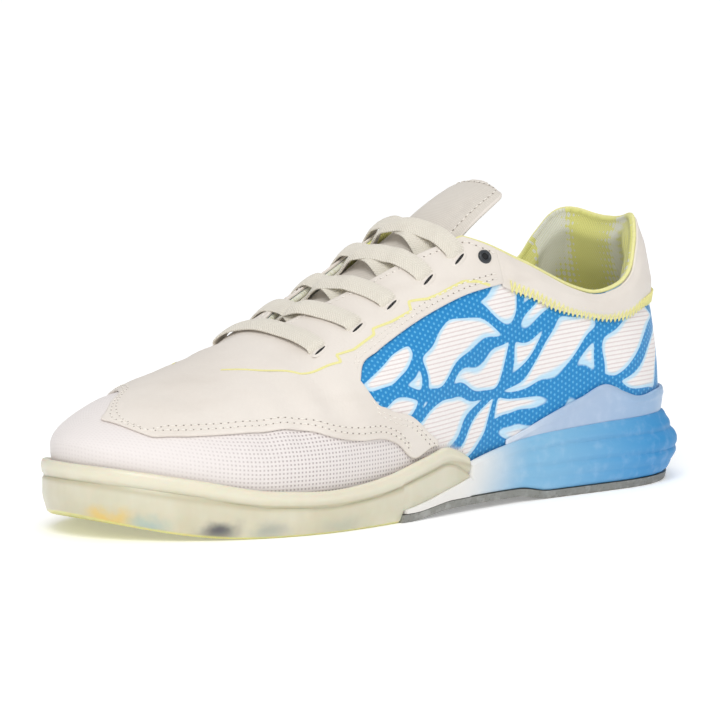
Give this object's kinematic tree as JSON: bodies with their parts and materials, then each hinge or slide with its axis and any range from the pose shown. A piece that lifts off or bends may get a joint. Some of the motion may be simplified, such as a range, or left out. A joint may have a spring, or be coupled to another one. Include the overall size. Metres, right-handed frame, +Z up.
{
  "type": "indoor soccer shoe",
  "caption": "Left low-cut indoor soccer shoe: smooth and mesh upper, clear rubber cup under the forefoot, foam heel wedge with a heel clip, padded tongue, flat crossed laces.",
  "frame": {"origin": "on the floor, under the middle of the heel tread", "axes": "+X to the heel, -X to the toe, -Y to the outer side of the foot, +Z up"},
  "size_m": [0.2841, 0.1037, 0.1156],
  "materials": {
    "smooth_white": "satin",
    "mesh_white": "open mesh",
    "clear_rubber": "satin, translucent",
    "grey_rubber": "matte",
    "clip_blue": "satin",
    "foam": "matte",
    "lining": "knitted",
    "lace_cloth": "woven",
    "black_metal": "satin"
  },
  "bodies": {
    "root": {"upper": "mesh_white", "vamp_overlay": "smooth_white", "collar_band": "smooth_white", "heel_clip": "clip_blue", "cupsole": "clear_rubber", "heel_outsole": "grey_rubber", "midsole": "foam", "insole": "lining", "tongue": "smooth_white", "lace_bar_1": "lace_cloth", "lace_cross_2": "lace_cloth", "lace_cross_3": "lace_cloth", "lace_cross_4": "lace_cloth", "lace_cross_5": "lace_cloth", "eyelet_outer": "black_metal", "eyelet_inner": "black_metal"}
  },
  "joints": []
}
